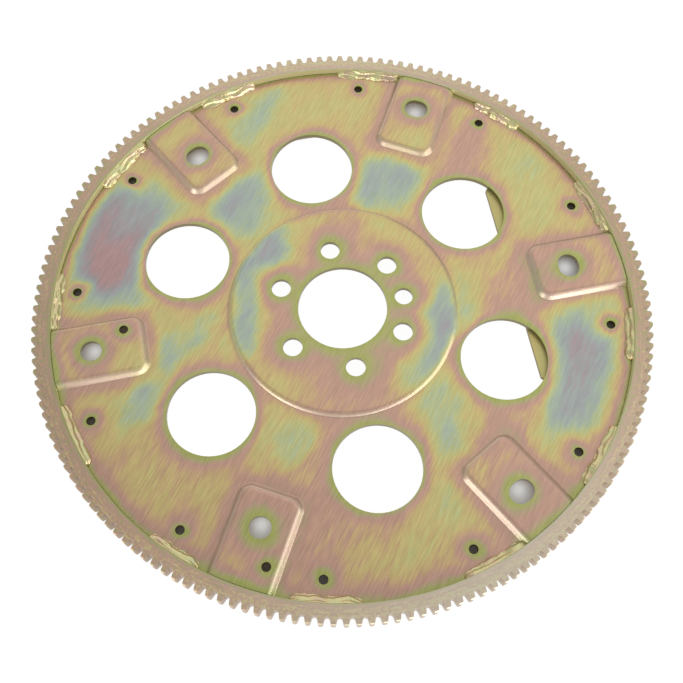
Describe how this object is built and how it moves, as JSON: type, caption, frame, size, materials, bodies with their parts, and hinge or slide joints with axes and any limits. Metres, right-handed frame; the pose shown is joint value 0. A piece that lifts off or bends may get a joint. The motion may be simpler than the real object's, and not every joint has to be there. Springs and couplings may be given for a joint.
{
  "type": "flexplate",
  "caption": "Round stamped steel flexplate with a welded toothed starter ring, raised converter pads, lightening holes and a balance weight, in yellow zinc finish.",
  "frame": {"origin": "on the crank axis, at the hub's face that seats on the crank", "axes": "+Z along the crank axis towards the torque converter, +X through the dowel hole and the middle of the balance weight"},
  "size_m": [0.359, 0.359, 0.0103],
  "materials": {
    "disc_zinc": "yellow zinc chromate over brushed sheet steel",
    "ring_zinc": "yellow zinc chromate over machined steel",
    "weight_zinc": "yellow zinc chromate over sheared plate",
    "weld_zinc": "yellow zinc chromate over rough weld metal"
  },
  "bodies": {
    "root": {"disc": "disc_zinc", "ring_gear": "ring_zinc", "balance_weight": "weight_zinc", "ring_weld_01": "weld_zinc", "ring_weld_02": "weld_zinc", "ring_weld_03": "weld_zinc", "ring_weld_04": "weld_zinc", "ring_weld_05": "weld_zinc", "ring_weld_06": "weld_zinc", "ring_weld_07": "weld_zinc", "ring_weld_08": "weld_zinc", "ring_weld_09": "weld_zinc", "ring_weld_10": "weld_zinc", "ring_weld_11": "weld_zinc", "ring_weld_12": "weld_zinc", "weight_weld_1": "weld_zinc", "weight_weld_2": "weld_zinc", "weight_weld_3": "weld_zinc", "weight_weld_4": "weld_zinc"}
  },
  "joints": []
}
